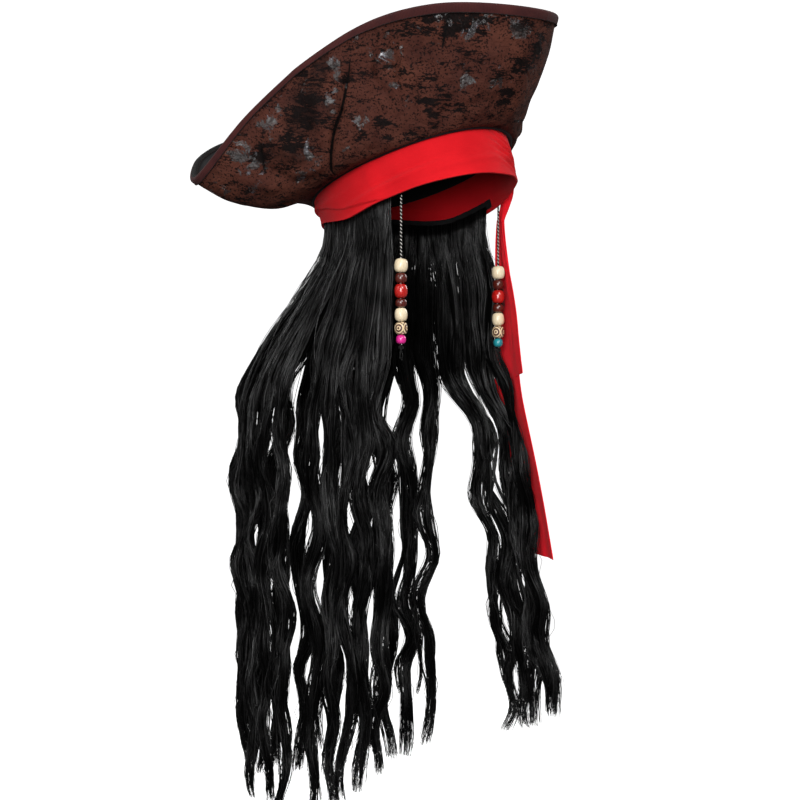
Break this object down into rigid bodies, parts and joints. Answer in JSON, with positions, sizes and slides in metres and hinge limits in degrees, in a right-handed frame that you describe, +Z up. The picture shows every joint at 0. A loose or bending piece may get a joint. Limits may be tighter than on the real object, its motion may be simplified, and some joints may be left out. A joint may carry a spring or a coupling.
{
  "type": "pirate hat",
  "caption": "Tricorn costume hat in distressed brown leather with a red bandana, long wavy black hair locks and beaded cords.",
  "frame": {"origin": "centre of the head opening, on the seam between crown and brim", "axes": "+Z up along the hanging hair, the wearer faces -Y, the wearer's left is +X; the hat itself leans back 18.5 degrees"},
  "size_m": [0.365, 0.3248, 0.7405],
  "materials": {
    "leather": "distressed brown faux leather, dark cracked patches with a wet gloss",
    "black_cloth": "matte black lining cloth",
    "buckram": "stiff interlining",
    "binding": "matte brown bias tape, stitched",
    "red_cloth": "matte red twill",
    "weft_tape": "black elastic tape",
    "hair": "black synthetic fibre with a soft sheen",
    "bead_cord": "twisted black and white cord",
    "cream_bead": "smooth cream",
    "brown_bead": "glossy lacquer",
    "red_bead": "glossy lacquer",
    "etched_bead": "cream with burnt-in brown rings",
    "pink_bead": "satin",
    "teal_bead": "satin"
  },
  "bodies": {
    "root": {"crown_tip": "leather", "crown_side": "leather", "crown_lining": "black_cloth", "sweatband": "black_cloth", "brim_outer": "leather", "brim_core": "buckram", "brim_inner": "black_cloth", "brim_binding": "binding", "bandana_band": "red_cloth", "bandana_knot": "red_cloth", "hair_weft": "weft_tape"},
    "hair_right": {"hair_right_1": "hair", "hair_right_2": "hair", "hair_right_3": "hair", "hair_right_4": "hair", "hair_right_5": "hair"},
    "hair_back_right": {"hair_back_right_1": "hair", "hair_back_right_2": "hair", "hair_back_right_3": "hair", "hair_back_right_4": "hair", "hair_back_right_5": "hair"},
    "hair_back": {"hair_back_1": "hair", "hair_back_2": "hair", "hair_back_3": "hair", "hair_back_4": "hair", "hair_back_5": "hair"},
    "hair_back_left": {"hair_back_left_1": "hair", "hair_back_left_2": "hair", "hair_back_left_3": "hair", "hair_back_left_4": "hair"},
    "hair_left": {"hair_left_1": "hair", "hair_left_2": "hair", "hair_left_3": "hair", "hair_left_4": "hair", "hair_left_5": "hair"},
    "tail_short": {"bandana_tail_short": "red_cloth"},
    "tail_long": {"bandana_tail_long": "red_cloth"},
    "string_right": {"bead_cord_right": "bead_cord", "bead_knot_right": "bead_cord"},
    "stack_right": {"bead_end_right": "pink_bead"},
    "bead_cream_top_right": {"bead_cream_top_right": "cream_bead"},
    "bead_brown_upper_right": {"bead_brown_upper_right": "brown_bead"},
    "bead_red_right": {"bead_red_right": "red_bead"},
    "bead_brown_lower_right": {"bead_brown_lower_right": "brown_bead"},
    "bead_cream_lower_right": {"bead_cream_lower_right": "cream_bead"},
    "bead_etched_right": {"bead_etched_right": "etched_bead"},
    "string_left": {"bead_cord_left": "bead_cord", "bead_knot_left": "bead_cord"},
    "stack_left": {"bead_end_left": "teal_bead"},
    "bead_cream_top_left": {"bead_cream_top_left": "cream_bead"},
    "bead_brown_upper_left": {"bead_brown_upper_left": "brown_bead"},
    "bead_red_left": {"bead_red_left": "red_bead"},
    "bead_brown_lower_left": {"bead_brown_lower_left": "brown_bead"},
    "bead_cream_lower_left": {"bead_cream_lower_left": "cream_bead"},
    "bead_etched_left": {"bead_etched_left": "etched_bead"}
  },
  "joints": [
    {"name": "hair_right_swing", "type": "hinge", "parent": "root", "child": "hair_right", "pos_m": [-0.08095, -0.01158, -0.04569], "axis": [0.0349, 0.9477, -0.3171], "range_deg": [0, 35]},
    {"name": "hair_back_right_swing", "type": "hinge", "parent": "root", "child": "hair_back_right", "pos_m": [-0.0612, 0.05192, -0.05338], "axis": [0.6561, 0.7157, -0.2395], "range_deg": [0, 35]},
    {"name": "hair_back_swing", "type": "hinge", "parent": "root", "child": "hair_back", "pos_m": [0, 0.0869, -0.0586], "axis": [1, 0, 0], "range_deg": [0, 35]},
    {"name": "hair_back_left_swing", "type": "hinge", "parent": "root", "child": "hair_back_left", "pos_m": [0.05685, 0.05813, -0.05305], "axis": [0.7133, -0.6647, 0.2224], "range_deg": [0, 35]},
    {"name": "hair_left_swing", "type": "hinge", "parent": "root", "child": "hair_left", "pos_m": [0.0845, -0.049, -0.0415], "axis": [0.0945, -0.9806, 0.1718], "range_deg": [0, 25]},
    {"name": "tail_short_swing", "type": "hinge", "parent": "hair_left", "child": "tail_short", "pos_m": [0.08312, -0.04842, -0.0415], "axis": [-0.3841, -0.9233, 0], "range_deg": [0, 25]},
    {"name": "tail_long_swing", "type": "hinge", "parent": "tail_short", "child": "tail_long", "pos_m": [0.08588, -0.04958, -0.0415], "axis": [-0.3841, -0.9233, 0], "range_deg": [0, 25]},
    {"name": "string_right_swing", "type": "hinge", "parent": "root", "child": "string_right", "pos_m": [-0.0711, -0.04756, -0.02996], "axis": [-0.9233, -0.3841, 0], "range_deg": [0, 50]},
    {"name": "stack_right_slide", "type": "slide", "parent": "string_right", "child": "stack_right", "axis": [0, 0, 1], "range_m": [0, 0.05]},
    {"name": "bead_cream_top_right_spin", "type": "hinge", "parent": "stack_right", "child": "bead_cream_top_right", "pos_m": [-0.0711, -0.04756, -0.09225], "axis": [0, 0, 1], "continuous": true},
    {"name": "bead_brown_upper_right_spin", "type": "hinge", "parent": "stack_right", "child": "bead_brown_upper_right", "pos_m": [-0.0711, -0.04756, -0.10345], "axis": [0, 0, 1], "continuous": true},
    {"name": "bead_red_right_spin", "type": "hinge", "parent": "stack_right", "child": "bead_red_right", "pos_m": [-0.0711, -0.04756, -0.11485], "axis": [0, 0, 1], "continuous": true},
    {"name": "bead_brown_lower_right_spin", "type": "hinge", "parent": "stack_right", "child": "bead_brown_lower_right", "pos_m": [-0.0711, -0.04756, -0.1256], "axis": [0, 0, 1], "continuous": true},
    {"name": "bead_cream_lower_right_spin", "type": "hinge", "parent": "stack_right", "child": "bead_cream_lower_right", "pos_m": [-0.0711, -0.04756, -0.13605], "axis": [0, 0, 1], "continuous": true},
    {"name": "bead_etched_right_spin", "type": "hinge", "parent": "stack_right", "child": "bead_etched_right", "pos_m": [-0.0711, -0.04756, -0.14815], "axis": [0, 0, 1], "continuous": true},
    {"name": "string_left_swing", "type": "hinge", "parent": "root", "child": "string_left", "pos_m": [0.0711, -0.04756, -0.02996], "axis": [-0.9233, 0.3841, 0], "range_deg": [0, 50]},
    {"name": "stack_left_slide", "type": "slide", "parent": "string_left", "child": "stack_left", "axis": [0, 0, 1], "range_m": [0, 0.05]},
    {"name": "bead_cream_top_left_spin", "type": "hinge", "parent": "stack_left", "child": "bead_cream_top_left", "pos_m": [0.0711, -0.04756, -0.09225], "axis": [0, 0, 1], "continuous": true},
    {"name": "bead_brown_upper_left_spin", "type": "hinge", "parent": "stack_left", "child": "bead_brown_upper_left", "pos_m": [0.0711, -0.04756, -0.10345], "axis": [0, 0, 1], "continuous": true},
    {"name": "bead_red_left_spin", "type": "hinge", "parent": "stack_left", "child": "bead_red_left", "pos_m": [0.0711, -0.04756, -0.11485], "axis": [0, 0, 1], "continuous": true},
    {"name": "bead_brown_lower_left_spin", "type": "hinge", "parent": "stack_left", "child": "bead_brown_lower_left", "pos_m": [0.0711, -0.04756, -0.1256], "axis": [0, 0, 1], "continuous": true},
    {"name": "bead_cream_lower_left_spin", "type": "hinge", "parent": "stack_left", "child": "bead_cream_lower_left", "pos_m": [0.0711, -0.04756, -0.13605], "axis": [0, 0, 1], "continuous": true},
    {"name": "bead_etched_left_spin", "type": "hinge", "parent": "stack_left", "child": "bead_etched_left", "pos_m": [0.0711, -0.04756, -0.14815], "axis": [0, 0, 1], "continuous": true}
  ]
}
